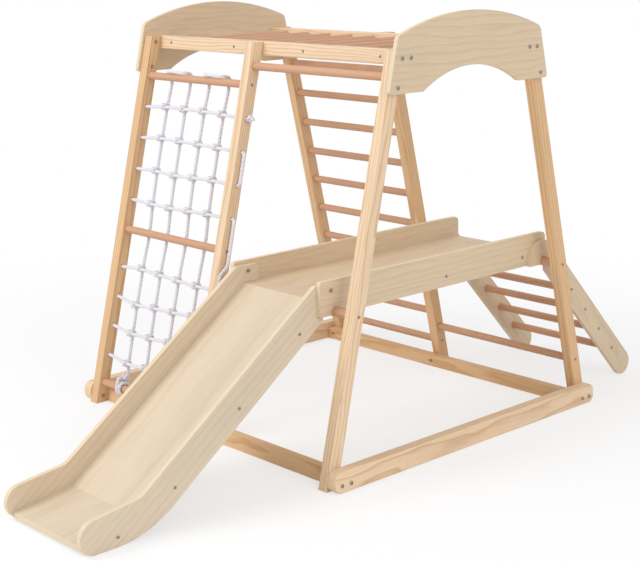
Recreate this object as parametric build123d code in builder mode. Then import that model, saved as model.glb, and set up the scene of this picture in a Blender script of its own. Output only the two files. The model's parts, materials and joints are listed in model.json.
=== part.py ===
from build123d import *
import os
from collections import namedtuple
from math import cos, pi, radians, sin, tan

# A wooden climbing frame with two leaning sides, a rope net, a platform with a slide and a short ladder.
# X runs along the rails, with the slide's bay at +X. The slide runs down towards -Y. Z is up from the floor.
# The pieces are drawn about the A-frame's centre line and moved along Y to the part's origin as written.

# Timber of the A-frame
lean = 13                    # degrees that each side leans inwards
leg_thick = 36               # along X
leg_wide = 42                # across the lean
leg_high = 1212
half_length = 580            # from the middle to the outer faces of the end legs
foot_spread = 572            # from the middle to a leg's centre line at the floor
mid_leg_x = -40
timber_round = 3
rail_wide = 36
rail_high = 42

# Base beams and arched panels on the outer faces of the end legs
beam_thick = 36
beam_high = 62
beam_past_leg = 20           # from a leg's centre line at the floor to the beam's end
beam_end_round = 25
ply = 15
panel_foot_drop = 119        # from the legs' tops down to the panel's feet
panel_overhang = 31          # of a leg's centre line by the panel's side edge
panel_rise = 102.5           # from the legs' tops up to the panel's top
panel_top_radius = 838
panel_shoulder = 22
arch_drop = 56.5             # from the legs' tops down to the arch's top
arch_radius = 384
panel_foot_round = 11
ply_round = 2

# Dowel rungs and bars
rung_radius = 12.5
bar_radius = 15
dowel_fit = 0.2
socket_deep = 18
monkey_bars = 10
monkey_far_step = 92.5       # from the rails' far ends to the first bar
monkey_near_step = 92.8      # from the last bar to the rails' near ends
monkey_screw_every = 3       # bars from one screwed bar to the next
monkey_socket_deep = 20
rung_pitch = 110
wall_rungs_below = 4         # rungs of the wall below the one over the platform bars
rung_above_bar = 51.5        # from the platform bars up to that rung
wall_last_drop = 130.5       # at least, from the legs' tops down to the top rung
net_bottom_rung = 68
net_middle_rung = 575
top_bar_drop = 73            # from the legs' tops
platform_bar_height = 480
low_bar_height = 147

# Fasteners
bolt_radius = 3
bolt_head_radius = 6
bolt_head_high = 3.3
bolt_head_round = 2
bolt_key_radius = 2.3
bolt_key_deep = 1.8
nut_radius = 5.8
nut_high = 5
barrel_radius = 5
barrel_long = 16
barrel_step = 28             # from a rail's end to its barrel nut
screw_radius = 2.25
screw_head_radius = 4.5
screw_head_high = 2.4
screw_head_round = 1.2
screw_cross_long = 5
screw_cross_wide = 1.1
screw_cross_deep = 1.2
screw_recess = 3.6
screw_long = 45
board_screw_long = 40
hole_fit = 0.2
bolt_past_nut = 7
bolt_step = 35               # from a leg bolt to the rail bolt beside it
beam_bolt_height = 22.5
panel_bolt_drop = 20         # from the legs' tops
panel_low_bolt_rise = 18     # from the panel's feet
mid_bolt_step = 21.3         # from the overhead bar beside the middle legs to their upper bolts
mid_bolt_bite = 28

# Net
rope_radius = 6
rope_hole_fit = 0.5
rope_gap = 0.5               # between a drop rope and the rows in front of it
rung_gap = 0.3               # between a rope and the rung that it goes round
drops = 4
drop_step = 96               # from the far leg's inner face to the first drop
drop_pitch = 98
rows_each = 4
lower_row_first = 161
lower_row_clear = 123.9      # from the highest lower row to the middle rung
upper_row_clear = 98.5       # from the middle rung to the lowest upper row
side_bend = 13.5
bar_detour = 24.5
tight_bend = 12
soft_bend = 30
long_bend = 100
knot_radius = 13.5
knot_fit = 0.1
tie_knot_radius = 15
tie_rise = 34
tie_inward = 6.5
tie_straight = 4
stub_inward = 2
tied_side_out = 1            # how much wider a drop rope passes on its tied side
rope_tail = 12

# Platform
platform_step = 57           # from the near legs' inner faces
platform_wide = 392
board_past_rear = 25.8       # from the rear bar's middle to the boards' ends
board_past_front = 60.8      # from the front bar's middle
board_below_bar = 8.5        # from the bars' middles to the boards' bottom edges
board_high = 102
board_rear_round = 18
board_front_round = 8
deck_past_front = 35.5       # from the front bar's middle
deck_past_rear = 6.8         # from the rear bar's middle
deck_screw_middle = 6
deck_screw_pitch = 365
seat_gap = 0.3

# Slide
slide_angle = 36
slide_wall = 57.6            # above the bed, square to it
slide_board_deep = 100.4
slide_tail_inward = 23.2     # from the front bar's middle to the boards' tails
slide_tail_rise = 82         # above the front bar's middle
slide_tail_round = 10
fold_high = 46.8             # of the bed where the run-out begins
nose_past_fold = 155         # from the fold to the middle of the round nose
nose_radius = 46
nose_rise = 7                # degrees
knee_radius = 60
heel_radius = 330
run_out_long = 183
run_out_low = 22
slide_screw_first = 112
slide_screw_pitch = 277.5
slide_screws = 3
run_out_screw_step = 87      # from the fold
slide_bolt_out = 18.8        # from the front bar's middle
slide_bolt_rise = 65         # above the front bar's middle

# Ladder
ladder_angle = 46.8
ladder_far_gap = 29          # from the platform's far board
ladder_side_gap = 0.5
ladder_below = 13
ladder_above = 69
ladder_rungs = 4
ladder_first_rung = 194
ladder_rung_pitch = 114
ladder_head_drop = 10        # from the bar's middle to the flat under the head
ladder_slot_deep = 60

os.makedirs("parts", exist_ok=True)

front = -1
rear = 1
cos_lean = cos(radians(lean))
sin_lean = sin(radians(lean))
half_span = leg_wide / 2 / cos_lean
low_align = (Align.CENTER, Align.CENTER, Align.MIN)
high_align = (Align.CENTER, Align.CENTER, Align.MAX)


def leg_y(z):
    """Distance of a leg's centre line from the middle plane, at a height."""
    return foot_spread - tan(radians(lean)) * z


def look(x, y, z, direction, across=None):
    """The place of a hole or fastener: on a face, with its axis out of the face."""
    return Plane(origin=(x, y, z), x_dir=across, z_dir=direction)


# Heights that follow the legs' tops, and the beams' half length
beam_half = foot_spread + beam_past_leg
panel_bottom = leg_high - panel_foot_drop
panel_top = leg_high + panel_rise
arch_top = leg_high - arch_drop
top_bar_height = leg_high - top_bar_drop
panel_bolt_height = leg_high - panel_bolt_drop
panel_low_bolt_height = panel_bottom + panel_low_bolt_rise

# Platform and slide, from the bars that carry them
bar_y = leg_y(platform_bar_height)
end_face = half_length - leg_thick
platform_near = end_face - platform_step
platform_far = platform_near - platform_wide
platform_front = -bar_y - board_past_front
platform_rear = bar_y + board_past_rear
board_bottom = platform_bar_height - board_below_bar
deck_front = -bar_y - deck_past_front
deck_rear = bar_y + deck_past_rear
deck_bottom = platform_bar_height + bar_radius + seat_gap
deck_top = deck_bottom + ply
deck_middle = deck_bottom + ply / 2
slide_bolt_y = -bar_y - slide_bolt_out
slide_bolt_z = platform_bar_height + slide_bolt_rise
slide_tan = tan(radians(slide_angle))
slide_cos = cos(radians(slide_angle))
slide_start = deck_front - seat_gap


def bed_z(y):
    """Height of the bed's top surface above a place along the slide's slope."""
    return deck_top + (y - slide_start) * slide_tan


def bed_y(z):
    """Place along the slope where the bed's top surface has a height."""
    return slide_start + (z - deck_top) / slide_tan


slide_fold = bed_y(fold_high)
nose_y = slide_fold - nose_past_fold
run_out_front = slide_fold - run_out_long
run_out_screw = slide_fold - run_out_screw_step

# Ladder's foot and slide's nose, which set the part's origin
ladder_cos = cos(radians(ladder_angle))
ladder_sin = sin(radians(ladder_angle))
ladder_middle = (ladder_above - ladder_below) / 2
ladder_foot_radius = (ladder_above + ladder_below) / 2
ladder_foot = (platform_bar_height + ladder_middle * ladder_cos - ladder_foot_radius) / ladder_sin


def ladder_point(down, above):
    """A point of the ladder in the Y-Z plane, down its slope from the bar and square to the slope."""
    y = bar_y + down * ladder_cos + above * ladder_sin
    return (y, platform_bar_height - down * ladder_sin + above * ladder_cos)


ladder_tip = ladder_point(ladder_foot, ladder_middle)[0] + ladder_foot_radius
slide_tip = nose_y - nose_radius
centre_shift = -(ladder_tip + slide_tip) / 2


def write(piece, node):
    """Moves a piece from the A-frame's centre line to the part's origin and writes it."""
    placed = Pos(0, centre_shift, 0) * piece
    placed.label = node
    export_step(placed, f"parts/{node}.step")


def copies(piece, places):
    """One group of separate solids, alike, at the given places."""
    with BuildPart() as group:
        with Locations(*places):
            add(piece)
    return group.part


# Bays between the legs, and the bars in them
far_bay = (-end_face, mid_leg_x - leg_thick / 2)
near_bay = (mid_leg_x + leg_thick / 2, end_face)
wall_first_rung = platform_bar_height + rung_above_bar - wall_rungs_below * rung_pitch
wall_rungs = int((leg_high - wall_last_drop - wall_first_rung) / rung_pitch) + 1
wall_heights = [wall_first_rung + rung_pitch * i for i in range(wall_rungs)]
net_top_rung = wall_heights[-1]
Bar = namedtuple("Bar", "node side bay height radius screwed")
net_bars = [
    Bar("net_rung_bottom", front, far_bay, net_bottom_rung, rung_radius, True),
    Bar("net_rung_middle", front, far_bay, net_middle_rung, rung_radius, True),
    Bar("net_rung_top", front, far_bay, net_top_rung, rung_radius, True),
]
wall_bars = [
    Bar("wall_rungs", rear, far_bay, height, rung_radius, height in (wall_heights[0], wall_heights[-1]))
    for height in wall_heights
]
near_bars = [
    Bar("top_bar_front", front, near_bay, top_bar_height, rung_radius, False),
    Bar("platform_bar_front", front, near_bay, platform_bar_height, bar_radius, True),
    Bar("platform_bar_rear", rear, near_bay, platform_bar_height, bar_radius, True),
    Bar("low_bar_rear", rear, near_bay, low_bar_height, rung_radius, True),
]
all_bars = net_bars + wall_bars + near_bars

# Rows of the net, from the top down, as distances up the lean
upper_row_pitch = (net_top_rung - net_middle_rung - upper_row_clear) / rows_each
lower_row_pitch = (net_middle_rung - lower_row_clear - lower_row_first) / (rows_each - 1)
upper_rows = [net_top_rung - upper_row_pitch * (i + 1) for i in range(rows_each)]
lower_rows = [lower_row_first + lower_row_pitch * i for i in reversed(range(rows_each))]
row_heights = upper_rows + lower_rows
row_ups = [height / cos_lean for height in row_heights]
drop_places = [far_bay[0] + drop_step + drop_pitch * i for i in range(drops)]


# Places of the fasteners that several pieces share
def bar_screws(bar):
    """Screw places on the outer faces of the two legs that hold a bar."""
    y = bar.side * leg_y(bar.height)
    far, near = bar.bay
    return [
        look(far - leg_thick, y, bar.height, (-1, 0, 0)),
        look(near + leg_thick, y, bar.height, (1, 0, 0)),
    ]


def end_bolts(height, inward, outer_face):
    """Bolt places on the panels or beams at both ends and both sides, a step inward of the legs."""
    return [
        look(end * outer_face, side * (leg_y(height) - inward), height, (end, 0, 0))
        for end in (-1, 1)
        for side in (front, rear)
    ]


panel_face = half_length + ply
beam_face = half_length + beam_thick
panel_leg_places = end_bolts(panel_bolt_height, 0, panel_face)
panel_leg_places += end_bolts(panel_low_bolt_height, 0, panel_face)
panel_rail_places = end_bolts(panel_bolt_height, bolt_step, panel_face)
beam_leg_places = end_bolts(beam_bolt_height, 0, beam_face)
beam_rail_places = end_bolts(beam_bolt_height, bolt_step, beam_face)

rail_middle = leg_high - rail_high / 2
top_rail_inner = leg_y(rail_middle) - half_span - rail_wide
base_rail_inner = leg_y(rail_high / 2) - half_span - rail_wide
monkey_first = -half_length + monkey_far_step
monkey_pitch = (half_length - monkey_near_step - monkey_first) / (monkey_bars - 1)
monkey_places = [monkey_first + monkey_pitch * i for i in range(monkey_bars)]
bar_beside_leg = min(monkey_places, key=lambda x: abs(x - mid_leg_x))
mid_bolt_places = [
    look(x, side * inner, height, (0, -side, 0))
    for side in (front, rear)
    for x, inner, height in (
        (bar_beside_leg + mid_bolt_step, top_rail_inner, rail_middle),
        (mid_leg_x, base_rail_inner, rail_high / 2),
    )
]
monkey_screw_y = top_rail_inner + rail_wide - screw_recess
monkey_screw_places = [
    look(x, side * monkey_screw_y, rail_middle, (0, side, 0))
    for x in monkey_places[::monkey_screw_every]
    for side in (front, rear)
]
mid_bolt_long = rail_wide + mid_bolt_bite


def barrel_places(side, height):
    """Barrel nut places in a rail, on the bolts that come in through its ends."""
    x = half_length - barrel_step
    y = side * (leg_y(height) - bolt_step)
    return [look(end * x, y, height, (0, -side, 0), across=(1, 0, 0)) for end in (-1, 1)]


# Legs
def make_leg(x, side):
    """A leaning leg, cut level at its foot and top, with the sockets and holes of what it holds."""
    with BuildPart() as leg:
        with BuildSketch(Plane.YZ.offset(x - leg_thick / 2)):
            with BuildLine():
                Polyline(
                    (side * (leg_y(0) - half_span), 0),
                    (side * (leg_y(0) + half_span), 0),
                    (side * (leg_y(leg_high) + half_span), leg_high),
                    (side * (leg_y(leg_high) - half_span), leg_high),
                    close=True,
                )
            make_face()
        extrude(amount=leg_thick)
        along = Axis((0, 0, 0), (0, -side * sin_lean, cos_lean))
        fillet(leg.edges().filter_by(along), timber_round)
        for bar in all_bars:
            if bar.side != side:
                continue
            y = side * leg_y(bar.height)
            for face, screw, out in zip(bar.bay, bar_screws(bar), (1, -1)):
                if abs(face - out * leg_thick / 2 - x) > leg_thick / 2:
                    continue
                with Locations(look(face, y, bar.height, (out, 0, 0))):
                    Hole(bar.radius + dowel_fit, socket_deep)
                if bar.screwed:
                    with Locations(screw):
                        Hole(screw_radius + hole_fit, leg_thick)
        if side == front and x < 0:
            for height in row_heights:
                with Locations(look(x + leg_thick / 2, side * leg_y(height), height, (1, 0, 0))):
                    Hole(rope_radius + rope_hole_fit, leg_thick)
        if x == mid_leg_x:
            with Locations(*mid_bolt_places):
                Hole(bolt_radius + hole_fit, mid_bolt_long + hole_fit)
        else:
            with Locations(*panel_leg_places, *beam_leg_places):
                Hole(bolt_radius + hole_fit, beam_thick + leg_thick)
    return leg.part


far_leg_x = -half_length + leg_thick / 2
near_leg_x = half_length - leg_thick / 2
for name, x in (("far", far_leg_x), ("middle", mid_leg_x), ("near", near_leg_x)):
    write(make_leg(x, front), f"leg_front_{name}")
    write(make_leg(x, rear), f"leg_rear_{name}")


# Rails
rail_bolt_reach = barrel_step + bolt_past_nut
screw_recess_start = screw_recess + timber_round
top_rail_bottom = leg_high - rail_high


def make_rail(side, bottom, inner, bolt_height, bolts, bars=()):
    """A rail whose outer face is bevelled to lie on the leaning legs, with sockets for any bars."""
    top = bottom + rail_high
    with BuildPart() as rail:
        with BuildSketch(Plane.YZ.offset(-half_length)):
            with BuildLine():
                Polyline(
                    (side * inner, bottom),
                    (side * (leg_y(bottom) - half_span), bottom),
                    (side * (leg_y(top) - half_span), top),
                    (side * inner, top),
                    close=True,
                )
            make_face()
        extrude(amount=2 * half_length)
        fillet(rail.edges().filter_by(Axis.X), timber_round)
        with Locations(*bolts):
            Hole(bolt_radius + hole_fit, rail_bolt_reach + beam_thick)
        with Locations(*mid_bolt_places):
            Hole(bolt_radius + hole_fit, mid_bolt_long)
        for place in barrel_places(side, bolt_height):
            with Locations(look(place.origin.X, side * inner, bolt_height, (0, -side, 0))):
                Hole(barrel_radius + hole_fit, abs(place.origin.Y) + barrel_long / 2 - inner)
        for x in bars:
            with Locations(look(x, side * inner, rail_middle, (0, -side, 0))):
                Hole(rung_radius + dowel_fit, monkey_socket_deep)
        if bars:
            with Locations(*[place.offset(screw_recess_start) for place in monkey_screw_places]):
                CounterBoreHole(
                    screw_radius + hole_fit,
                    screw_head_radius + hole_fit,
                    screw_recess_start,
                    screw_recess_start + rail_wide - monkey_socket_deep,
                )
    return rail.part


for name, side in (("front", front), ("rear", rear)):
    top_rail = make_rail(
        side, top_rail_bottom, top_rail_inner, panel_bolt_height, panel_rail_places, monkey_places
    )
    write(top_rail, f"top_rail_{name}")
    base_rail = make_rail(side, 0, base_rail_inner, beam_bolt_height, beam_rail_places)
    write(base_rail, f"base_rail_{name}")


# Base beams
def make_beam(inner_face):
    """A floor beam with rounded top corners, on the outer faces of an end pair of legs."""
    with BuildPart() as beam:
        with BuildSketch(Plane.YZ.offset(inner_face)) as outline:
            with Locations((0, beam_high / 2)):
                Rectangle(2 * beam_half, beam_high)
            fillet(outline.vertices(), beam_end_round)
        extrude(amount=beam_thick)
        big_faces = beam.faces().filter_by(Axis.X)
        fillet(big_faces.edges(), timber_round)
        with Locations(*beam_leg_places, *beam_rail_places):
            Hole(bolt_radius + hole_fit, beam_thick)
    return beam.part


write(make_beam(-beam_face), "base_beam_far")
write(make_beam(half_length), "base_beam_near")


# Arched panels
def make_panel(inner_face):
    """A plywood panel with an arched top and an arched cut-out, on the tops of an end pair of legs."""
    wide_low = leg_y(panel_bottom) + panel_overhang
    wide_high = leg_y(panel_top) + panel_overhang
    with BuildPart() as panel:
        with BuildSketch(Plane.YZ.offset(inner_face)) as outline:
            with BuildLine():
                Polyline(
                    (-wide_low, panel_bottom),
                    (wide_low, panel_bottom),
                    (wide_high, panel_top),
                    (-wide_high, panel_top),
                    close=True,
                )
            make_face()
            with Locations((0, panel_top - panel_top_radius)):
                Circle(panel_top_radius, mode=Mode.INTERSECT)
            with Locations((0, arch_top - arch_radius)):
                Circle(arch_radius, mode=Mode.SUBTRACT)
            fillet(outline.vertices().group_by(Axis.Y)[-1], panel_shoulder)
            fillet(outline.vertices().group_by(Axis.Y)[0], panel_foot_round)
        extrude(amount=ply)
        fillet(panel.faces().filter_by(Axis.X).edges(), ply_round)
        with Locations(*panel_leg_places, *panel_rail_places):
            Hole(bolt_radius + hole_fit, ply)
    return panel.part


write(make_panel(-panel_face), "arch_panel_far")
write(make_panel(half_length), "arch_panel_near")


# Rungs and bars
def make_bar(bar):
    """A dowel between two legs, sunk in their sockets, with pilot holes where screws hold it."""
    far, near = bar.bay
    start = far - socket_deep + dowel_fit
    end = near + socket_deep - dowel_fit
    y = bar.side * leg_y(bar.height)
    with BuildPart() as dowel:
        with Locations(look(start, y, bar.height, (1, 0, 0))):
            Cylinder(bar.radius, end - start, align=low_align)
        if bar.screwed:
            with Locations(*bar_screws(bar)):
                Hole(screw_radius + hole_fit, screw_long + hole_fit)
    return dowel.part


for bar in net_bars + near_bars:
    write(make_bar(bar), bar.node)
with BuildPart() as wall_set:
    for bar in wall_bars:
        add(make_bar(bar))
write(wall_set.part, "wall_rungs")

monkey_end = top_rail_inner + monkey_socket_deep - dowel_fit
for i, x in enumerate(monkey_places):
    with BuildPart() as monkey_bar:
        with Locations(look(x, -monkey_end, rail_middle, (0, 1, 0))):
            Cylinder(rung_radius, 2 * monkey_end, align=low_align)
        with Locations(*monkey_screw_places):
            Hole(screw_radius + hole_fit, screw_long + hole_fit)
    write(monkey_bar.part, f"monkey_bar_{i + 1}")


# Bolts, nuts and screws
def make_bolt(long):
    """A button-head bolt with a six-sided key socket: its head stands on its place."""
    with BuildPart() as bolt:
        Cylinder(bolt_head_radius, bolt_head_high, align=low_align)
        fillet(bolt.edges().group_by(Axis.Z)[-1], bolt_head_round)
        with BuildSketch(Plane.XY.offset(bolt_head_high)):
            RegularPolygon(bolt_key_radius, 6)
        extrude(amount=-bolt_key_deep, mode=Mode.SUBTRACT)
        Cylinder(bolt_radius, long, align=high_align)
    return bolt.part


def make_screw(long):
    """A pan-head screw with a cross recess: its head stands on its place."""
    with BuildPart() as screw:
        Cylinder(screw_head_radius, screw_head_high, align=low_align)
        fillet(screw.edges().group_by(Axis.Z)[-1], screw_head_round)
        with BuildSketch(Plane.XY.offset(screw_head_high)):
            Rectangle(screw_cross_long, screw_cross_wide)
            Rectangle(screw_cross_wide, screw_cross_long)
        extrude(amount=-screw_cross_deep, mode=Mode.SUBTRACT)
        Cylinder(screw_radius, long, align=high_align)
    return screw.part


def make_nut():
    """A six-sided nut, lying under its place with the bolt's end flush in it."""
    with BuildPart() as nut:
        with BuildSketch(Plane.XY):
            RegularPolygon(nut_radius, 6)
            Circle(bolt_radius, mode=Mode.SUBTRACT)
        extrude(amount=-nut_high)
    return nut.part


def through(place, distance):
    """The place at the far side of what a bolt passes."""
    return place.offset(-distance)


panel_stack = ply + leg_thick
beam_stack = beam_thick + leg_thick
write(copies(make_bolt(panel_stack + nut_high), panel_leg_places), "panel_leg_bolts")
write(copies(make_bolt(beam_stack + nut_high), beam_leg_places), "beam_leg_bolts")
write(copies(make_bolt(ply + rail_bolt_reach), panel_rail_places), "panel_rail_bolts")
write(copies(make_bolt(beam_thick + rail_bolt_reach), beam_rail_places), "beam_rail_bolts")
write(copies(make_bolt(mid_bolt_long), mid_bolt_places), "middle_leg_bolts")
leg_nut_places = [through(place, panel_stack) for place in panel_leg_places]
leg_nut_places += [through(place, beam_stack) for place in beam_leg_places]
write(copies(make_nut(), leg_nut_places), "leg_nuts")

with BuildPart() as barrel_nut:
    Cylinder(barrel_radius, barrel_long)
    with Locations(Plane.YZ.offset(barrel_radius)):
        Hole(bolt_radius + hole_fit / 2)
barrel_spots = [
    spot
    for side in (front, rear)
    for height in (beam_bolt_height, panel_bolt_height)
    for spot in barrel_places(side, height)
]
write(copies(barrel_nut.part, barrel_spots), "barrel_nuts")

frame_screw_places = [place for bar in all_bars if bar.screwed for place in bar_screws(bar)]
frame_screw_places += monkey_screw_places
write(copies(make_screw(screw_long), frame_screw_places), "rung_screws")


# Net
net_ground = Plane(
    origin=(0, -foot_spread, 0), x_dir=(1, 0, 0), z_dir=(0, -cos_lean, sin_lean)
)


def net_point(x, up, inward):
    """A point of the net: along the rungs, up the lean from the floor, and inward of the legs' middle."""
    return net_ground.from_local_coords((x, up, -inward))


def make_rope(route):
    """A rope along straight runs joined by arcs, from points with the radius of the bend at each."""
    points = [net_point(*stop[:3]) for stop in route]
    radii = [stop[3] for stop in route[1:-1]]
    with BuildPart() as rope:
        with BuildLine() as path:
            FilletPolyline(*points, radius=radii)
        centre = path.wires()[0]
        with BuildSketch(Plane(origin=centre @ 0, z_dir=centre % 0)):
            Circle(rope_radius)
        sweep()
    length = centre.length
    ratio = rope.part.volume / (pi * rope_radius**2 * length)
    print(f"rope {length:.0f} mm long, volume ratio {ratio:.5f}, radii {radii}")
    return rope.part


rope_right = near_bay[0] + side_bend
rope_left = -half_length - side_bend
end_knot_x = near_bay[0] + knot_radius + rung_gap
tail_x = end_knot_x + knot_radius + rope_tail
bar_up = platform_bar_height / cos_lean
row_route = [(tail_x, row_ups[0], 0, 0)]
for i, (upper, lower) in enumerate(zip(row_ups, row_ups[1:])):
    x = rope_right if i % 2 else rope_left
    row_route.append((x, upper, 0, side_bend))
    if upper > bar_up > lower:
        row_route.append((x, bar_up + 2 * bar_detour, 0, soft_bend))
        row_route.append((x, bar_up + bar_detour, -bar_detour, soft_bend))
        row_route.append((x, lower, -bar_detour, tight_bend))
        row_route.append((x, lower, 0, tight_bend))
    else:
        row_route.append((x, lower, 0, side_bend))
row_route.append((tail_x, row_ups[-1], 0, 0))
write(make_rope(row_route), "net_row_rope")

behind = 2 * rope_radius + rope_gap
wrap = rung_radius + rope_radius + rung_gap
wrap_bend = wrap - knot_fit
bottom_up = net_bottom_rung / cos_lean
middle_up = net_middle_rung / cos_lean
top_up = net_top_rung / cos_lean
tie_up = bottom_up + tie_rise
tied_side = wrap + tied_side_out
upper_low_up = row_ups[rows_each - 1]
lower_top_up = row_ups[rows_each]


def drop_leg(x):
    """One drop of a rope: from its tied end, round the bottom rung and up behind the rows to the top."""
    return [
        (x, tie_up, stub_inward, 0),
        (x, tie_up, -tied_side, tight_bend),
        (x, bottom_up - wrap, -tied_side, wrap_bend),
        (x, bottom_up - wrap, wrap, wrap_bend),
        (x, tie_up + tie_knot_radius + tie_straight, wrap, soft_bend),
        (x, tie_up + tie_knot_radius + tie_straight + soft_bend, behind, soft_bend),
        (x, lower_top_up + knot_radius + rope_radius, behind, long_bend),
        (x, middle_up, wrap + rung_gap, long_bend),
        (x, upper_low_up - knot_radius - rope_radius, behind, long_bend),
        (x, row_ups[0] + knot_radius + rope_radius, behind, long_bend),
        (x, top_up - tight_bend, wrap, long_bend),
        (x, top_up + wrap, wrap, wrap_bend),
        (x, top_up + wrap, -tight_bend - rung_gap, tight_bend),
    ]


for name, pair in (("far", drop_places[:2]), ("near", drop_places[2:])):
    write(make_rope(drop_leg(pair[0]) + drop_leg(pair[1])[::-1]), f"net_drop_rope_{name}")

with BuildPart() as crossing_knot:
    Sphere(knot_radius)
    with Locations(Location((0, 0, behind / 2), (0, 90, 0))):
        Cylinder(rope_radius + knot_fit, 3 * knot_radius, mode=Mode.SUBTRACT)
    with Locations(Location((0, 0, -behind / 2), (90, 0, 0))):
        Cylinder(rope_radius + knot_fit, 3 * knot_radius, mode=Mode.SUBTRACT)
with BuildPart() as end_knot:
    Sphere(knot_radius, rotation=(0, 90, 0))
    with Locations(Location((0, 0, 0), (0, 90, 0))):
        Cylinder(rope_radius + knot_fit, 3 * knot_radius, mode=Mode.SUBTRACT)
with BuildPart() as tie_knot:
    Sphere(tie_knot_radius, rotation=(0, 90, 0))
    with Locations(Location((0, 0, tie_inward - wrap), (90, 0, 0))):
        Cylinder(rope_radius + knot_fit, 3 * tie_knot_radius, mode=Mode.SUBTRACT)
    with Locations((0, 0, tie_inward - stub_inward - knot_fit)):
        Cylinder(rope_radius + knot_fit, 2 * tie_knot_radius, align=low_align, mode=Mode.SUBTRACT)


def net_place(x, up, inward):
    """A point of the net as a place, square to the net."""
    return Plane(origin=net_point(x, up, inward), x_dir=net_ground.x_dir, z_dir=net_ground.z_dir)


crossings = [net_place(x, up, behind / 2) for x in drop_places for up in row_ups]
write(copies(crossing_knot.part, crossings), "net_knots")
with BuildPart() as end_knots:
    with Locations(net_place(end_knot_x, row_ups[0], 0), net_place(end_knot_x, row_ups[-1], 0)):
        add(end_knot.part)
    with Locations(*[net_place(x, tie_up, tie_inward) for x in drop_places]):
        add(tie_knot.part)
write(end_knots.part, "rope_end_knots")


# Platform
slot_radius = bar_radius + seat_gap
board_faces = ((platform_far, -1), (platform_near, 1))
deck_screw_places = [
    look(face, deck_screw_middle + deck_screw_pitch * i, deck_middle, (out, 0, 0))
    for face, out in board_faces
    for i in (-1, 0, 1)
]
slide_bolt_places = [look(face, slide_bolt_y, slide_bolt_z, (out, 0, 0)) for face, out in board_faces]


def make_platform_side(low_x):
    """A side board of the platform, hooked over both bars by slots open at the bottom."""
    with BuildPart() as board:
        with BuildSketch(Plane.YZ.offset(low_x)) as outline:
            with Locations(((platform_front + platform_rear) / 2, board_bottom + board_high / 2)):
                Rectangle(platform_rear - platform_front, board_high)
            corners = outline.vertices().sort_by(Axis.Y)
            fillet(corners.group_by(Axis.X)[0], board_front_round)
            rear_top = outline.vertices().group_by(Axis.Y)[-1].sort_by(Axis.X)[-1]
            fillet(rear_top, board_rear_round)
            with Locations((-bar_y, platform_bar_height), (bar_y, platform_bar_height)):
                Circle(slot_radius, mode=Mode.SUBTRACT)
            with Locations((-bar_y, board_bottom), (bar_y, board_bottom)):
                Rectangle(
                    2 * slot_radius, 2 * (platform_bar_height - board_bottom), mode=Mode.SUBTRACT
                )
        extrude(amount=ply)
        with Locations(*deck_screw_places):
            Hole(screw_radius + hole_fit, ply)
        with Locations(*slide_bolt_places):
            Hole(bolt_radius + hole_fit, ply)
    return board.part


write(make_platform_side(platform_far), "platform_side_far")
write(make_platform_side(platform_near - ply), "platform_side_near")

deck_far = platform_far + ply
deck_near = platform_near - ply
with BuildPart() as deck:
    with BuildSketch(Plane.XY.offset(deck_bottom)):
        with Locations(((deck_far + deck_near) / 2, (deck_front + deck_rear) / 2)):
            Rectangle(deck_near - deck_far, deck_rear - deck_front)
    extrude(amount=ply)
    with Locations(*deck_screw_places):
        Hole(screw_radius + hole_fit, board_screw_long + hole_fit)
write(deck.part, "platform_deck")


# Slide
wall_rise = slide_wall / slide_cos
board_drop = (slide_board_deep - slide_wall) / slide_cos
nose_tan = tan(radians(nose_rise))
nose_cos = cos(radians(nose_rise))
nose_sin = sin(radians(nose_rise))
nose_top = (nose_y - nose_radius * nose_sin, nose_radius + nose_radius * nose_cos)
knee_y = (nose_top[1] - nose_top[0] * nose_tan - bed_z(0) - wall_rise) / (slide_tan - nose_tan)
slide_tail_end = -bar_y + slide_tail_inward
slide_tail_top = platform_bar_height + slide_tail_rise
run_out_tan = (fold_high - run_out_low) / run_out_long
run_out_cos = 1 / (1 + run_out_tan**2) ** 0.5
bed_drop = ply / slide_cos
run_out_drop = ply / run_out_cos


def slide_screw_points():
    """Screws down the middle of the bed's edge, and one into the run-out."""
    distances = [slide_screw_first + slide_screw_pitch * i for i in range(slide_screws)]
    ys = [slide_start - distance * slide_cos for distance in distances]
    points = [(y, bed_z(y) - bed_drop / 2) for y in ys]
    rise = (run_out_screw - run_out_front) * run_out_tan
    points.append((run_out_screw, run_out_low + rise - run_out_drop / 2))
    return points


slide_faces = ((deck_far, -1), (deck_near, 1))
slide_screw_places = [
    look(face, y, z, (out, 0, 0)) for face, out in slide_faces for y, z in slide_screw_points()
]


def make_slide_side(low_x):
    """A side board of the slide, with a tail over the deck, a round nose and a foot on the floor."""
    tail_bottom = deck_top + seat_gap
    with BuildPart() as board:
        with BuildSketch(Plane.YZ.offset(low_x)):
            with BuildLine():
                FilletPolyline(
                    nose_top,
                    (knee_y, bed_z(knee_y) + wall_rise),
                    (bed_y(slide_tail_top - wall_rise), slide_tail_top),
                    (slide_tail_end, slide_tail_top),
                    (slide_tail_end, tail_bottom),
                    (slide_start, tail_bottom),
                    (slide_start, bed_z(slide_start) - board_drop),
                    (bed_y(board_drop), 0),
                    (nose_y, 0),
                    radius=[knee_radius, slide_tail_round, slide_tail_round, 0, 0, 0, heel_radius],
                )
                ThreePointArc((nose_y, 0), (nose_y - nose_radius, nose_radius), nose_top)
            make_face()
        extrude(amount=ply)
        with Locations(*slide_screw_places):
            Hole(screw_radius + hole_fit, ply)
        with Locations(*slide_bolt_places):
            Hole(bolt_radius + hole_fit, 2 * ply)
    return board.part


write(make_slide_side(deck_far), "slide_side_far")
write(make_slide_side(deck_near - ply), "slide_side_near")

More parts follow.
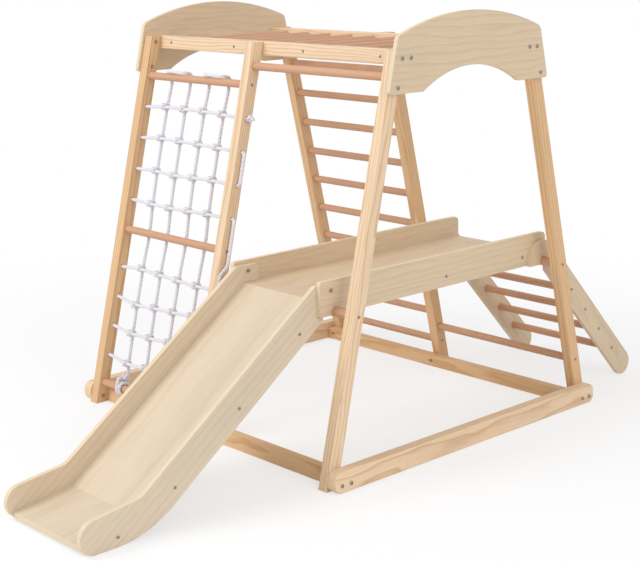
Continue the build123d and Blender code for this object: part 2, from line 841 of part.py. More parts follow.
bed_far = deck_far + ply
bed_near = deck_near - ply
with BuildPart() as slide_bed:
    with BuildSketch(Plane.YZ.offset(bed_far)):
        with BuildLine():
            Polyline(
                (slide_start, deck_top),
                (slide_fold, fold_high),
                (slide_fold, fold_high - bed_drop),
                (slide_start, deck_top - bed_drop),
                close=True,
            )
        make_face()
    extrude(amount=bed_near - bed_far)
    with Locations(*slide_screw_places):
        Hole(screw_radius + hole_fit, board_screw_long + hole_fit)
write(slide_bed.part, "slide_bed")

with BuildPart() as run_out:
    with BuildSketch(Plane.YZ.offset(bed_far)):
        with BuildLine():
            Polyline(
                (slide_fold, fold_high),
                (run_out_front, run_out_low),
                (run_out_front, run_out_low - run_out_drop),
                (slide_fold, fold_high - run_out_drop),
                close=True,
            )
        make_face()
    extrude(amount=bed_near - bed_far)
    with Locations(*slide_screw_places):
        Hole(screw_radius + hole_fit, board_screw_long + hole_fit)
write(run_out.part, "slide_run_out")

board_screw = make_screw(board_screw_long)
write(copies(board_screw, deck_screw_places + slide_screw_places), "slide_and_deck_screws")
write(copies(make_bolt(2 * ply + nut_high), slide_bolt_places), "slide_bolts")
slide_nut_places = [through(place, 2 * ply) for place in slide_bolt_places]
write(copies(make_nut(), slide_nut_places), "slide_nuts")


# Ladder
ladder_near = platform_near + ladder_side_gap
ladder_far = platform_far - ladder_far_gap
ladder_head_bottom = platform_bar_height - ladder_head_drop
rung_downs = [ladder_first_rung + ladder_rung_pitch * i for i in range(ladder_rungs)]
ladder_screw_places = [
    look(face, *ladder_point(down, ladder_middle), (out, 0, 0))
    for face, out in ((ladder_far - ply, -1), (ladder_near + ply, 1))
    for down in rung_downs
]
head_back = bar_y - (ladder_above**2 - (platform_bar_height - ladder_head_bottom) ** 2) ** 0.5
flat_down = (platform_bar_height - ladder_below * ladder_cos - ladder_head_bottom) / ladder_sin


def make_ladder_side(low_x):
    """A side board of the ladder: a round head hooked over the bar and a round foot on the floor."""
    head_low = (head_back, ladder_head_bottom)
    head_high = ladder_point(0, ladder_above)
    foot_high = ladder_point(ladder_foot, ladder_above)
    foot_tip = ladder_point(ladder_foot + ladder_foot_radius, ladder_middle)
    foot_low = ladder_point(ladder_foot, -ladder_below)
    with BuildPart() as board:
        with BuildSketch(Plane.YZ.offset(low_x)):
            with BuildLine():
                ThreePointArc(head_low, (bar_y, platform_bar_height + ladder_above), head_high)
                Line(head_high, foot_high)
                ThreePointArc(foot_high, foot_tip, foot_low)
                Polyline(foot_low, ladder_point(flat_down, -ladder_below), head_low)
            make_face()
            with Locations((bar_y, platform_bar_height)):
                Circle(slot_radius, mode=Mode.SUBTRACT)
            with Locations((bar_y, platform_bar_height - ladder_slot_deep / 2)):
                Rectangle(2 * slot_radius, ladder_slot_deep, mode=Mode.SUBTRACT)
        extrude(amount=ply)
        with Locations(*ladder_screw_places):
            Hole(screw_radius + hole_fit, ply)
    return board.part


write(make_ladder_side(ladder_far - ply), "ladder_side_far")
write(make_ladder_side(ladder_near), "ladder_side_near")

with BuildPart() as ladder_dowels:
    for down in rung_downs:
        with Locations(look(ladder_far, *ladder_point(down, ladder_middle), (1, 0, 0))):
            Cylinder(rung_radius, ladder_near - ladder_far, align=low_align)
    with Locations(*ladder_screw_places):
        Hole(screw_radius + hole_fit, board_screw_long + hole_fit)
write(ladder_dowels.part, "ladder_rungs")
write(copies(board_screw, ladder_screw_places), "ladder_screws")
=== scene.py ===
import json
from math import cos, pi, radians, sin, tan

import bpy
from mathutils import Matrix, Vector


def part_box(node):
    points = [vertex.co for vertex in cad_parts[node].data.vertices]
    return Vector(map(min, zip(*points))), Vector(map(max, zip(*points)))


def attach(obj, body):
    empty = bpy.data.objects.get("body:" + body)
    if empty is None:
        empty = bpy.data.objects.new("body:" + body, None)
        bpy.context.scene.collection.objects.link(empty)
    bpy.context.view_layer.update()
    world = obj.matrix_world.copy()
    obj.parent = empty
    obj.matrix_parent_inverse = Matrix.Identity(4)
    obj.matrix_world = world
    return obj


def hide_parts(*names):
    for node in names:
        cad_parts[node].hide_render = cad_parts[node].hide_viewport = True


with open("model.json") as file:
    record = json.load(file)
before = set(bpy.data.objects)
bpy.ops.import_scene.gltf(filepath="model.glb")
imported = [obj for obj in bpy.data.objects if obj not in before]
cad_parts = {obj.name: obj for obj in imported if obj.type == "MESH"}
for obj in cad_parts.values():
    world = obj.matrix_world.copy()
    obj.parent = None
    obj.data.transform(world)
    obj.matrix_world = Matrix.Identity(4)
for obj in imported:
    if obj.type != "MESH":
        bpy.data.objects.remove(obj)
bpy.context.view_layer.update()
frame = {"nodes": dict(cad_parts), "record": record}
nodes = frame["nodes"]

# Sizes that the looks share with the construction, in metres
lean = radians(13)
slide_angle = radians(36)
run_out_angle = radians(7.8)
ladder_angle = radians(46.8)
foot_spread = 0.572
platform_bar_height = 0.480

# The A-frame's middle plane lies this far along Y from the part's origin
platform_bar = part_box("platform_bar_rear")
bar_reach = foot_spread - tan(lean) * platform_bar_height
middle_y = (platform_bar[0].y + platform_bar[1].y) / 2 - bar_reach


# Camera, at the photograph's viewpoint
camera_place = Vector((3.3627, -3.1929 + middle_y, 1.5132))
camera_azimuth = radians(47.056)
camera_elevation = radians(10.162)
camera_roll = radians(-0.790)
sensor_width = 36            # in millimetres
photo_wide = 640             # in pixels
focal_pixels = 1438.8
window_drop_pixels = 81      # the view's middle lies this far below the lens axis
view_depth = 50


def make_camera():
    """The camera, with the place, turn and focal length that fit the photograph."""
    camera = bpy.data.cameras.new("camera")
    camera.sensor_width = sensor_width
    camera.lens = focal_pixels / photo_wide * sensor_width
    camera.shift_y = -window_drop_pixels / photo_wide
    camera.clip_end = view_depth
    holder = bpy.data.objects.new("camera", camera)
    bpy.context.scene.collection.objects.link(holder)
    back = Vector((
        cos(camera_elevation) * sin(camera_azimuth),
        -cos(camera_elevation) * cos(camera_azimuth),
        sin(camera_elevation),
    ))
    right = Vector((0, 0, 1)).cross(back).normalized()
    up = back.cross(right)
    turned_right = cos(camera_roll) * right + sin(camera_roll) * up
    turned_up = cos(camera_roll) * up - sin(camera_roll) * right
    turn = Matrix((turned_right, turned_up, back)).transposed()
    holder.matrix_world = Matrix.Translation(camera_place) @ turn.to_4x4()
    bpy.context.scene.camera = holder


make_camera()


# Node graphs
class Graph:
    """A material's node graph, built one node at a time."""

    def __init__(self, name):
        self.material = bpy.data.materials.new(name)
        self.material.use_nodes = True
        self.tree = self.material.node_tree
        self.shader = self.tree.nodes["Principled BSDF"]

    def put(self, node, key, value):
        """Sets an input of a node to a value, or links an output to it."""
        if isinstance(value, bpy.types.NodeSocket):
            self.tree.links.new(value, node.inputs[key])
        else:
            node.inputs[key].default_value = value

    def add(self, kind, inputs=(), **settings):
        """A node with its settings, and with values or other nodes' outputs on its inputs."""
        node = self.tree.nodes.new(kind)
        for key, value in settings.items():
            setattr(node, key, value)
        for key, value in dict(inputs).items():
            self.put(node, key, value)
        return node

    def surface(self, key, value):
        """Sets or links an input of the material's own shader."""
        self.put(self.shader, key, value)

    def bump(self, height, strength, distance):
        """Gives the material's own shader relief from a height."""
        inputs = {"Height": height, "Strength": strength, "Distance": distance}
        self.surface("Normal", self.add("ShaderNodeBump", inputs).outputs[0])

    def math(self, operation, first, second=0.0):
        """The output of a math node."""
        return self.add("ShaderNodeMath", {0: first, 1: second}, operation=operation).outputs[0]

    def vector_math(self, operation, first, second=(0, 0, 0), output="Vector"):
        """An output of a vector math node."""
        node = self.add("ShaderNodeVectorMath", {0: first, 1: second}, operation=operation)
        return node.outputs[output]

    def mapped(self, vector, scale=(1, 1, 1), location=(0, 0, 0), rotation=(0, 0, 0)):
        """A vector after a mapping node."""
        inputs = {"Vector": vector, "Scale": scale, "Location": location, "Rotation": rotation}
        return self.add("ShaderNodeMapping", inputs).outputs[0]

    def noise(self, vector, scale, detail):
        """The level of a noise, from 0 to 1."""
        inputs = {"Vector": vector, "Scale": scale, "Detail": detail}
        return self.add("ShaderNodeTexNoise", inputs).outputs["Fac"]

    def spread(self, level, low, high):
        """A level from 0 to 1, spread between two values."""
        inputs = {"Value": level, "To Min": low, "To Max": high}
        return self.add("ShaderNodeMapRange", inputs).outputs[0]

    def ramp(self, level, stops):
        """A ramp between grey levels at given places."""
        node = self.add("ShaderNodeValToRGB", {"Fac": level})
        band = node.color_ramp
        while len(band.elements) < len(stops):
            band.elements.new(0.5)
        for element, (place, grey) in zip(band.elements, stops):
            element.position = place
            element.color = (grey, grey, grey, 1)
        return node.outputs["Color"]

    def mix(self, share, first, second, blend="MIX"):
        """A mix of two colours, which are inputs 6 and 7 of the node."""
        inputs = {0: share, 6: first, 7: second}
        return self.add("ShaderNodeMix", inputs, data_type="RGBA", blend_type=blend).outputs[2]

    def shade(self, colour, share, level, stops):
        """A colour that is darkened in part by a ramp of a level."""
        return self.mix(share, colour, self.ramp(level, stops), blend="MULTIPLY")

    def mix_shader(self, share, first, second):
        """A mix of two shaders."""
        return self.add("ShaderNodeMixShader", {0: share, 1: first, 2: second}).outputs[0]


def linear(red, green, blue):
    """A colour given in 0 to 255 screen values, as the linear colour that the shader takes."""
    return tuple((channel / 255) ** 2.2 for channel in (red, green, blue)) + (1,)


def dress(node, material):
    """Puts one material on every face of a CAD node."""
    slots = nodes[node].data.materials
    slots.clear()
    slots.append(material)


# Wood: each pair of tones is the early wood's and the late wood's
pine_tones = (linear(240, 211, 176), linear(206, 160, 114))
# Pine tones darkened and warmed as painted shade, for pieces whose seen sides lie in shade
shaded_pine_tones = (linear(229, 190, 144), linear(196, 146, 96))
dowel_tones = (linear(210, 162, 128), linear(181, 129, 97))
slide_tones = (linear(223, 205, 180), linear(205, 182, 150))
board_tones = (linear(222, 199, 168), linear(201, 173, 138))
ply_pale = linear(232, 214, 184)
ply_dark = linear(219, 198, 165)
ply_pitch = 0.003            # of a pale and a dark ply, in metres
edge_cosine = 0.5            # a face that is turned further from the panel's own is an edge

# Grain: stretches and scales are along it and then across it, and scales are per metre
ring_stretch = (0.1, 1, 1)
wander_stretch = (0.16, 1, 1)
wander_scale = 9.0
fibre_scale = (14, 420, 420)
patch_scale = (1.6, 9, 9)
grain_step = 0.713           # from one piece's part of the grain to the next piece's
wander_step = 1.7
fibre_relief = 0.6
line_relief = -0.4

# Stops of ramps: a level's place from 0 to 1, and the grey there
ring_profile = ((0.0, 0.0), (0.55, 0.18), (0.9, 1.0), (1.0, 0.0))
ply_profile = ((0.3, 0.0), (0.7, 1.0))
fibre_shade = ((0.35, 0.80), (0.6, 1.0))
patch_shade = ((0.3, 0.86), (0.7, 1.0))
fibre_share = 0.35
patch_share = 0.55

# Directions of the grain and of the plies
along_x = (1, 0, 0)
along_y = (0, 1, 0)
along_z = (0, 0, 1)
front_lean = (0, sin(lean), cos(lean))
rear_lean = (0, -sin(lean), cos(lean))
down_slide = (0, cos(slide_angle), sin(slide_angle))
slide_normal = (0, -sin(slide_angle), cos(slide_angle))
run_out_way = (0, cos(run_out_angle), sin(run_out_angle))
run_out_normal = (0, -sin(run_out_angle), cos(run_out_angle))
down_ladder = (0, cos(ladder_angle), -sin(ladder_angle))


def growth_lines(graph, grain, seed, pith, ring_scale, sway):
    """Rings about a pith beside the piece, which sway along the grain: 0 is pale and 1 is dark."""
    slow = graph.mapped(grain, scale=wander_stretch, location=(seed * wander_step, 0, 0))
    wander = graph.math("SUBTRACT", graph.noise(slow, scale=wander_scale, detail=3.0), 0.5)
    bend = graph.vector_math("MULTIPLY", wander, (0.0, sway, sway))
    from_pith = graph.mapped(grain, scale=ring_stretch, location=(0, *pith))
    bent = graph.vector_math("ADD", from_pith, bend)
    rings = graph.add(
        "ShaderNodeTexWave",
        {"Vector": bent, "Scale": ring_scale, "Distortion": 1.2, "Detail": 2.0, "Detail Scale": 2.0},
        wave_type="RINGS", rings_direction="X", wave_profile="SAW",
    ).outputs["Fac"]
    return graph.ramp(rings, ring_profile)


def ply_edges(graph, coords, ply_axis, fibres, face_colour):
    """The plies on a panel's edges, and the given colour on its faces."""
    facing = graph.vector_math("DOT_PRODUCT", coords["Normal"], ply_axis, "Value")
    on_edge = graph.math("LESS_THAN", graph.math("ABSOLUTE", facing), edge_cosine)
    depth = graph.vector_math("DOT_PRODUCT", coords["Object"], ply_axis, "Value")
    layer = graph.math("SINE", graph.math("MULTIPLY", depth, 2 * pi / ply_pitch))
    # The sine, from -1 to 1, becomes a level from 0 to 1
    level = graph.math("ADD", graph.math("MULTIPLY", layer, 0.5), 0.5)
    edge_colour = graph.mix(graph.ramp(level, ply_profile), ply_pale, ply_dark)
    edge_colour = graph.shade(edge_colour, fibre_share, fibres, fibre_shade)
    return graph.mix(on_edge, face_colour, edge_colour)


def make_wood(name, seed, along, tones, pith, ring_scale, contrast, sway=0.05, ply_axis=None):
    """Sanded wood, with growth lines and fibres along one direction, and plies if it is a panel."""
    graph = Graph(name)
    coords = graph.add("ShaderNodeTexCoord").outputs
    turn = Vector(along).rotation_difference(Vector(along_x)).to_euler()
    grain = graph.mapped(coords["Object"], rotation=turn, location=(seed * grain_step, 0, 0))
    lines = growth_lines(graph, grain, seed, pith, ring_scale, sway)
    fibres = graph.noise(graph.mapped(grain, scale=fibre_scale), scale=1.0, detail=2.0)
    patches = graph.noise(graph.mapped(grain, scale=patch_scale), scale=1.0, detail=2.0)
    colour = graph.mix(graph.math("MULTIPLY", lines, contrast), *tones)
    colour = graph.shade(colour, patch_share, patches, patch_shade)
    colour = graph.shade(colour, fibre_share, fibres, fibre_shade)
    if ply_axis:
        colour = ply_edges(graph, coords, ply_axis, fibres, colour)
    graph.surface("Base Color", colour)
    graph.surface("Roughness", graph.spread(patches, 0.48, 0.62))
    graph.surface("Coat Weight", 0.06)
    graph.surface("Coat Roughness", 0.35)
    raised = graph.math("MULTIPLY", fibres, fibre_relief)
    sunk = graph.math("MULTIPLY", lines, line_relief)
    graph.bump(graph.math("ADD", raised, sunk), strength=0.25, distance=0.0004)
    return graph.material


def pith_place(nearest, step, count, seed):
    """Where a piece's pith lies across the grain: one of a few places, so that neighbours differ."""
    return (nearest[0] + step * (seed % count), nearest[1])


def pine(name, seed, along, tones=pine_tones):
    """Solid softwood with clear growth lines."""
    pith = pith_place((0.071, 0.043), step=0.004, count=5, seed=seed)
    return make_wood(name, seed, along, tones, pith, ring_scale=34, contrast=0.66)


def dowel(name, seed, along):
    """Reddish dowel wood with faint, fine growth lines."""
    pith = pith_place((0.033, 0.021), step=0.003, count=7, seed=seed)
    return make_wood(name, seed, along, dowel_tones, pith, ring_scale=85, contrast=0.45)


def plywood(name, seed, along, ply_axis, tones=slide_tones):
    """Pale plywood with a broad, faint figure."""
    pith = pith_place((0.19, 0.15), step=0.02, count=3, seed=seed)
    return make_wood(
        name, seed, along, tones, pith, ring_scale=15, contrast=0.4, sway=0.13, ply_axis=ply_axis
    )


# Each node's wood by the start of its name, where the first that fits counts: its kind, the direction of
# its grain, a panel's normal, and its tones where they aren't the usual ones
woods = {
    # The far front leg, the rear legs and the base rails take the pine tones with painted shade
    "leg_front_far": (pine, front_lean, shaded_pine_tones),
    "leg_front": (pine, front_lean),
    "leg_rear": (pine, rear_lean, shaded_pine_tones),
    "top_rail": (pine, along_x),
    "base_rail": (pine, along_x, shaded_pine_tones),
    "base_beam": (pine, along_y),
    "monkey_bar": (dowel, along_y),
    "wall_rungs": (dowel, along_x),
    "net_rung": (dowel, along_x),
    "top_bar": (dowel, along_x),
    "platform_bar": (dowel, along_x),
    "low_bar": (dowel, along_x),
    "ladder_rungs": (dowel, along_x),
    "arch_panel": (plywood, along_y, along_x, board_tones),
    "platform_side": (plywood, along_y, along_x, board_tones),
    "platform_deck": (plywood, along_y, along_z, board_tones),
    "slide_side": (plywood, down_slide, along_x),
    "slide_bed": (plywood, down_slide, slide_normal),
    "slide_run_out": (plywood, run_out_way, run_out_normal),
    "ladder_side": (plywood, down_ladder, along_x, board_tones),
}


def dress_wood():
    """Gives each wooden node a grain of its own."""
    for seed, name in enumerate(sorted(nodes), 1):
        for start, (wood, *settings) in woods.items():
            if name.startswith(start):
                dress(name, wood(name, seed, *settings))
                break


dress_wood()


# Metal
steel_dark = linear(142, 134, 123)
steel_pale = linear(168, 159, 147)


def make_steel():
    """Plated steel with faint spots."""
    graph = Graph("bolt_steel")
    place = graph.add("ShaderNodeTexCoord").outputs["Object"]
    spots = graph.noise(place, scale=900.0, detail=2.0)
    graph.surface("Base Color", graph.mix(spots, steel_dark, steel_pale))
    graph.surface("Metallic", 0.85)
    graph.surface("Roughness", graph.spread(spots, 0.28, 0.5))
    graph.bump(spots, strength=0.1, distance=0.0002)
    return graph.material


steel = make_steel()
for entry in frame["record"]["subparts"]:
    if entry["material_slot"] == "bolt":
        dress(entry["node"], steel)


# Rope, in metres
rope_radius = 0.006
rope_pitch = 0.042           # one turn of the strands
rope_step = 0.0035           # between the sections of a strand
strands = 3
strand_sides = 8
strand_share = 0.5           # of the rope's radius
cap_share = 0.6              # of the strand's radius, how far the point of its end stands out
rope_dark = linear(218, 215, 224)
rope_pale = linear(240, 238, 244)
fuzz_profile = ((0.3, 0.0), (0.7, 1.0))
soft_shade = ((0.3, 0.90), (0.7, 1.0))
soft_share = 0.4
spline_order = 3
spline_resolution = 24       # steps between two control points


def make_rope_material():
    """White twisted rope with fine fibres."""
    graph = Graph("white_rope")
    place = graph.add("ShaderNodeTexCoord").outputs["Object"]
    fuzz = graph.noise(place, scale=1400.0, detail=3.0)
    soft = graph.noise(place, scale=60.0, detail=2.0)
    colour = graph.mix(graph.ramp(fuzz, fuzz_profile), rope_dark, rope_pale)
    graph.surface("Base Color", graph.shade(colour, soft_share, soft, soft_shade))
    graph.surface("Roughness", graph.spread(fuzz, 0.7, 0.9))
    graph.surface("Sheen Weight", 0.25)
    graph.bump(fuzz, strength=0.35, distance=0.0005)
    return graph.material


rope_material = make_rope_material()


def spline_points(points):
    """Points along the smooth spline that has the given control points."""
    curve = bpy.data.curves.new("route", "CURVE")
    curve.dimensions = "3D"
    curve.resolution_u = spline_resolution
    spline = curve.splines.new("NURBS")
    spline.points.add(len(points) - 1)
    for target, point in zip(spline.points, points):
        target.co = (*point, 1)
    spline.order_u = spline_order
    spline.use_endpoint_u = True
    holder = bpy.data.objects.new("route", curve)
    mesh = bpy.data.meshes.new_from_object(holder)
    found = [vertex.co.copy() for vertex in mesh.vertices]
    bpy.data.objects.remove(holder)
    bpy.data.curves.remove(curve)
    bpy.data.meshes.remove(mesh)
    return found


def even_points(points, step):
    """The same line at even steps."""
    lengths = [(b - a).length for a, b in zip(points, points[1:])]
    total = sum(lengths)
    count = round(total / step)
    result = []
    at = 0
    passed = 0.0
    for i in range(count + 1):
        goal = total * i / count
        while at < len(lengths) - 1 and passed + lengths[at] < goal:
            passed += lengths[at]
            at += 1
        share = (goal - passed) / lengths[at]
        result.append(points[at].lerp(points[at + 1], min(share, 1.0)))
    return result


def cross_directions(points):
    """Two directions across a line at each of its points, which twist as little as they can."""
    last = len(points) - 1
    result = []
    across = None
    for i in range(last + 1):
        way = (points[min(i + 1, last)] - points[max(i - 1, 0)]).normalized()
        if across is None:
            across = way.orthogonal().normalized()
        across = (across - across.dot(way) * way).normalized()
        result.append((across, way.cross(across)))
    return result


class Tubes:
    """A mesh made of tubes, such as the strands of ropes and knots."""

    def __init__(self):
        self.vertices = []
        self.faces = []

    def cap(self, ring_start, end, inner, radius, flipped):
        """Closes a tube's end with a low point."""
        tip = len(self.vertices)
        self.vertices.append(end + cap_share * radius * (end - inner).normalized())
        for j in range(strand_sides):
            pair = (ring_start + j, ring_start + (j + 1) % strand_sides)
            self.faces.append((tip, *(pair[::-1] if flipped else pair)))

    def tube(self, centres, radius):
        """A round tube along points."""
        first_ring = len(self.vertices)
        for centre, (across, side) in zip(centres, cross_directions(centres)):
            for j in range(strand_sides):
                angle = 2 * pi * j / strand_sides
                self.vertices.append(centre + radius * (cos(angle) * across + sin(angle) * side))
        last_ring = len(self.vertices) - strand_sides
        for low in range(first_ring, last_ring, strand_sides):
            high = low + strand_sides
            for j in range(strand_sides):
                k = (j + 1) % strand_sides
                self.faces.append((low + j, low + k, high + k, high + j))
        self.cap(first_ring, centres[0], centres[1], radius, flipped=True)
        self.cap(last_ring, centres[-1], centres[-2], radius, flipped=False)

    def rope(self, centres, radius):
        """Strands that turn about a line of evenly spaced points."""
        length = sum((b - a).length for a, b in zip(centres, centres[1:]))
        turns = max(1, round(length / rope_pitch * rope_radius / radius))
        offset = radius * (1 - strand_share)
        directions = cross_directions(centres)
        last = len(centres) - 1
        for strand in range(strands):
            line = []
            for i, (centre, (across, side)) in enumerate(zip(centres, directions)):
                angle = 2 * pi * (turns * i / last + strand / strands)
                line.append(centre + offset * (cos(angle) * across + sin(angle) * side))
            self.tube(line, radius * strand_share)

    def piece(self, name, replaced):
        """The object of this mesh, which stands for a node on the frame."""
        mesh = bpy.data.meshes.new(name)
        mesh.from_pydata(self.vertices, [], self.faces)
        mesh.polygons.foreach_set("use_smooth", [True] * len(mesh.polygons))
        mesh.update()
        holder = bpy.data.objects.new(name, mesh)
        bpy.context.scene.collection.objects.link(holder)
        mesh.materials.append(rope_material)
        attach(holder, "frame")
        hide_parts(replaced)


# Net, in metres: the same route as the construction's
rung_radius = 0.0125
rung_gap = 0.0003            # between a rung and the rope round it
rope_gap = 0.0005            # between a row and the drop behind it
behind = 2 * rope_radius + rope_gap
wrap = rung_radius + rope_radius + rung_gap
middle_leg_faces = (-0.058, -0.022)    # along X, the net's side and the outside
far_leg_faces = (-0.544, -0.58)
side_bend = 0.0135
guide = 0.006                # how far inside the bay a row leaves a leg's hole straight
bar_detour = 0.0245          # of the rows' rope round the end of the front platform bar
rung_heights = (0.068, 0.575, 1.0815)
row_heights = (0.9795, 0.8775, 0.7755, 0.6735, 0.4511, 0.3544, 0.2577, 0.161)
drop_places = (-0.448, -0.350, -0.252, -0.154)
row_dips = (                 # of each row at each drop, in millimetres
    (-7, -6, -7, -4),
    (-7, -6, -5, -3),
    (-3, 3, 0, -4),
    (3, 5, 3, 0),
    (-8, -4, 0, 2),
    (15, 8, 5, 0),
    (12, 8, 4, 0),
    (14, 9, 4, 0),
)
tail_x = 0.010               # where the rows' rope ends, past the middle leg
bottom_up, middle_up, top_up = [height / cos(lean) for height in rung_heights]
row_ups = [height / cos(lean) for height in row_heights]
bar_up = platform_bar_height / cos(lean)
tie_height = 0.034           # above the bottom rung
tie_inward = 0.0065
tied_gap = 0.001             # how much further off its rung a drop's tied end stands
tie_up = bottom_up + tie_height
tied_side = wrap + tied_gap
leaves_rung = 0.019          # above a tie, where a drop starts to leave the rung's line
meets_rows = 0.049           # above a tie, where a drop has come to the rows
rung_run = 0.1               # each side of the middle rung, where a drop leaves the rows to pass it
pass_gap = 0.0025            # how much further off a drop passes the middle rung
top_run = 0.03               # below the top rung, where a drop leaves the rows
across_run = 0.02            # where a drop turns along the top rung
knot_turn = 0.0115           # of the two turns that tie a crossing
knot_rope_radius = 0.0046
tie_rope_radius = 0.005
end_knot_size = 0.0095
tie_knot_size = 0.0105

net_x = Vector((1, 0, 0))
net_up = Vector((0, sin(lean), cos(lean)))
net_inward = Vector((0, cos(lean), -sin(lean)))
net_foot = Vector((0, middle_y - foot_spread, 0))


def net_point(x, up, inward):
    """A point by its place along the rungs, up the lean, and inward of the legs' middle."""
    return net_foot + x * net_x + up * net_up + inward * net_inward


def net_rope(points, name, replaced):
    """Makes a rope along the spline of its control points."""
    line = spline_points([net_point(*point) for point in points])
    tubes = Tubes()
    tubes.rope(even_points(line, rope_step), rope_radius)
    tubes.piece(name, replaced)


def crossings(row):
    """The places of a row's crossings, along the rungs and up the lean."""
    return [(x, row_ups[row] - dip / 1000) for x, dip in zip(drop_places, row_dips[row])]


def outer_turn(faces, up, down):
    """Control points of a turn outside a leg, from one row's hole to the next row's."""
    inner, outer = faces
    out = 1 if outer > inner else -1
    bend_x = outer + out * side_bend
    hole_x = outer - out * side_bend
    way_down = [(bend_x, up - 2 * side_bend, 0), (bend_x, down + 2 * side_bend, 0)]
    if up > bar_up > down:
        # Round the end of the front platform bar
        way_down = [
            (bend_x, up - 2 * side_bend, 0),
            (bend_x, bar_up + 3 * bar_detour, 0),
            (bend_x, bar_up + 2 * bar_detour, 0),
            (bend_x, bar_up + bar_detour, -bar_detour),
            (bend_x, bar_up, -bar_detour),
            (bend_x, down + bar_detour, -bar_detour),
            (bend_x, down, -bar_detour),
        ]
    return [(hole_x, up, 0), (bend_x, up, 0), *way_down, (bend_x, down, 0), (hole_x, down, 0)]


def row_points(row, heading):
    """Control points of a row between the legs, in the direction that the rope runs."""
    up = row_ups[row]
    between = [(x, crossing_up, 0) for x, crossing_up in crossings(row)]
    line = [(far_leg_faces[0] + guide, up, 0), *between, (middle_leg_faces[0] - guide, up, 0)]
    return line if heading > 0 else line[::-1]


def make_rows():
    """The rope that is laced through the legs' holes as eight rows."""
    hole_x = middle_leg_faces[1] - side_bend
    points = [(tail_x, row_ups[0], 0), (hole_x, row_ups[0], 0)]
    for row, up in enumerate(row_ups):
        heading = 1 if row % 2 else -1
        points += row_points(row, heading)
        if row < len(row_ups) - 1:
            faces = middle_leg_faces if heading > 0 else far_leg_faces
            points += outer_turn(faces, up, row_ups[row + 1])
    points += [(hole_x, row_ups[-1], 0), (tail_x, row_ups[-1], 0)]
    net_rope(points, "rope_rows", "net_row_rope")


def drop_points(x):
    """Control points of one drop, from its tied end, round the bottom rung and up to the top rung."""
    return [
        (x, tie_up, tie_inward / 3),
        (x, tie_up, -tied_side),
        (x, bottom_up + wrap, -tied_side),
        (x, bottom_up - wrap, -tied_side),
        (x, bottom_up - wrap, wrap),
        (x, bottom_up + wrap, wrap),
        (x, tie_up + leaves_rung, wrap),
        (x, tie_up + meets_rows, behind),
        (x, middle_up - rung_run, behind),
        (x, middle_up, wrap + pass_gap),
        (x, middle_up + rung_run, behind),
        (x, row_ups[0], behind),
        (x, top_up - top_run, wrap),
        (x, top_up, wrap),
        (x, top_up + wrap, wrap),
        (x, top_up + wrap, -rung_radius),
    ]


def make_drops(name, replaced, first, second):
    """A rope that makes two drops over the top rung."""
    across = [(x, top_up + wrap, -rung_radius) for x in (first + across_run, second - across_run)]
    net_rope(drop_points(first) + across + drop_points(second)[::-1], name, replaced)


def ring(centre, first, second, wide, high, steps=20):
    """Points of an oval turn about a centre, and its first point again."""
    angles = [2 * pi * i / steps for i in range(steps + 1)]
    return [centre + wide * cos(angle) * first + high * sin(angle) * second for angle in angles]


def overhand(centre, size, first, second, third, steps=48):
    """Points of a tight overhand knot about a centre, as a trefoil."""
    points = []
    for i in range(steps + 1):
        turn = 2 * pi * i / steps
        a = (sin(turn) + 2 * sin(2 * turn)) / 3
        b = (cos(turn) - 2 * cos(2 * turn)) / 3
        c = -sin(3 * turn) / 2
        points.append(centre + size * (a * first + b * second + c * third))
    return points


def make_crossing_knots():
    """Two slanting turns of rope round each crossing of a row and a drop."""
    tubes = Tubes()
    half_depth = behind / 2 + rope_radius + knot_rope_radius / 2
    for row in range(len(row_ups)):
        for x, up in crossings(row):
            centre = net_point(x, up, behind / 2)
            for slant in (-1, 1):
                across = (net_x + slant * net_up).normalized()
                tubes.rope(ring(centre, across, net_inward, knot_turn, half_depth), knot_rope_radius)
    tubes.piece("crossing_knots", "net_knots")


def make_end_knots():
    """Overhand knots on the rows' rope ends, and knots with a second turn on the bottom rung."""
    tubes = Tubes()
    knot_x = middle_leg_faces[1] + side_bend + rung_gap
    for up in (row_ups[0], row_ups[-1]):
        centre = net_point(knot_x, up, 0)
        tubes.rope(overhand(centre, end_knot_size, net_up, net_inward, net_x), knot_rope_radius)
    for x in drop_places:
        centre = net_point(x, tie_up, tie_inward)
        tubes.rope(overhand(centre, tie_knot_size, net_x, net_up, net_inward), tie_rope_radius)
        turn_centre = net_point(x + 2 * rope_radius, bottom_up, 0)
        tubes.rope(ring(turn_centre, net_up, net_inward, wrap, wrap, steps=32), rope_radius)
    tubes.piece("rope_knots", "rope_end_knots")


make_rows()
make_drops("rope_drop_far", "net_drop_rope_far", *drop_places[:2])
make_drops("rope_drop_near", "net_drop_rope_near", *drop_places[2:])
make_crossing_knots()
make_end_knots()


# Floor, light and background
white = (1, 1, 1, 1)
floor_colour = (0.93, 0.93, 0.94, 1)
floor_radius = 4.5
floor_gap = 0.0005           # below the feet
fade_start = 1.0             # from the middle of the floor
fade_end = 2.8
shadow_softening = 0.6       # the share of plain white in what the camera sees of the floor
surround_level = 0.67
object_middle = Vector((0, 0, 0.5))


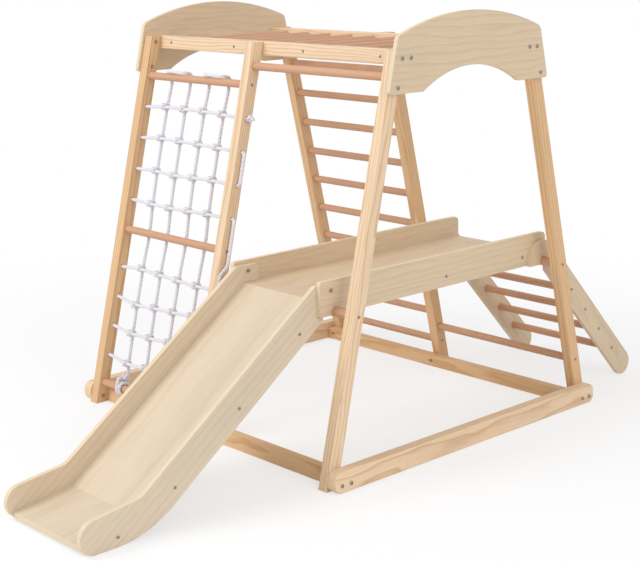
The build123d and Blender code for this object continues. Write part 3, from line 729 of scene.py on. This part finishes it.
def make_floor():
    """A pale floor that keeps the shadow and fades into the white background."""
    bpy.ops.mesh.primitive_circle_add(
        vertices=96, radius=floor_radius, fill_type="NGON", location=(0, 0, -floor_gap)
    )
    floor = bpy.context.object
    floor.name = "floor"
    graph = Graph("floor")
    graph.surface("Base Color", floor_colour)
    graph.surface("Roughness", 0.9)
    graph.surface("Specular IOR Level", 0.1)
    place = graph.add("ShaderNodeTexCoord").outputs["Object"]
    distance = graph.vector_math("LENGTH", place, output="Value")
    fade = graph.add(
        "ShaderNodeMapRange",
        {"Value": distance, "From Min": fade_start, "From Max": fade_end, "To Min": 1.0, "To Max": 0.0},
        interpolation_type="SMOOTHSTEP",
    ).outputs[0]
    camera_ray = graph.add("ShaderNodeLightPath").outputs["Is Camera Ray"]
    glow_share = graph.math("MULTIPLY", camera_ray, shadow_softening)
    glow = graph.add("ShaderNodeEmission", {"Color": white, "Strength": 1.0}).outputs[0]
    shown = graph.mix_shader(glow_share, graph.shader.outputs[0], glow)
    clear = graph.add("ShaderNodeBsdfTransparent").outputs[0]
    faded = graph.mix_shader(fade, clear, shown)
    graph.put(graph.tree.nodes["Material Output"], "Surface", faded)
    floor.data.materials.append(graph.material)


def make_world():
    """An even surround, which the camera, metal and clear parts see as white."""
    world = bpy.data.worlds.new("world")
    bpy.context.scene.world = world
    world.use_nodes = True
    tree = world.node_tree
    background = tree.nodes["Background"]
    background.inputs["Color"].default_value = white
    rays = tree.nodes.new("ShaderNodeLightPath")
    shown = rays.outputs["Is Camera Ray"]
    for kind in ("Is Glossy Ray", "Is Transmission Ray"):
        either = tree.nodes.new("ShaderNodeMath")
        either.operation = "MAXIMUM"
        tree.links.new(shown, either.inputs[0])
        tree.links.new(rays.outputs[kind], either.inputs[1])
        shown = either.outputs[0]
    level = tree.nodes.new("ShaderNodeMapRange")
    level.inputs["To Min"].default_value = surround_level
    level.inputs["To Max"].default_value = 1.0
    tree.links.new(shown, level.inputs["Value"])
    tree.links.new(level.outputs[0], background.inputs["Strength"])


def make_lamp(name, place, size, power):
    """A square soft lamp that looks at the object's middle."""
    lamp = bpy.data.lights.new(name, "AREA")
    lamp.shape = "SQUARE"
    lamp.size = size
    lamp.energy = power
    holder = bpy.data.objects.new(name, lamp)
    holder.location = place
    holder.rotation_euler = (object_middle - Vector(place)).to_track_quat("-Z", "Y").to_euler()
    bpy.context.scene.collection.objects.link(holder)


make_floor()
make_world()
make_lamp("key", place=(-1.6, -4.2, 4.2), size=3.0, power=158)
make_lamp("fill", place=(4.6, -0.6, 3.0), size=3.0, power=66)

bpy.context.scene.view_settings.view_transform = "Standard"
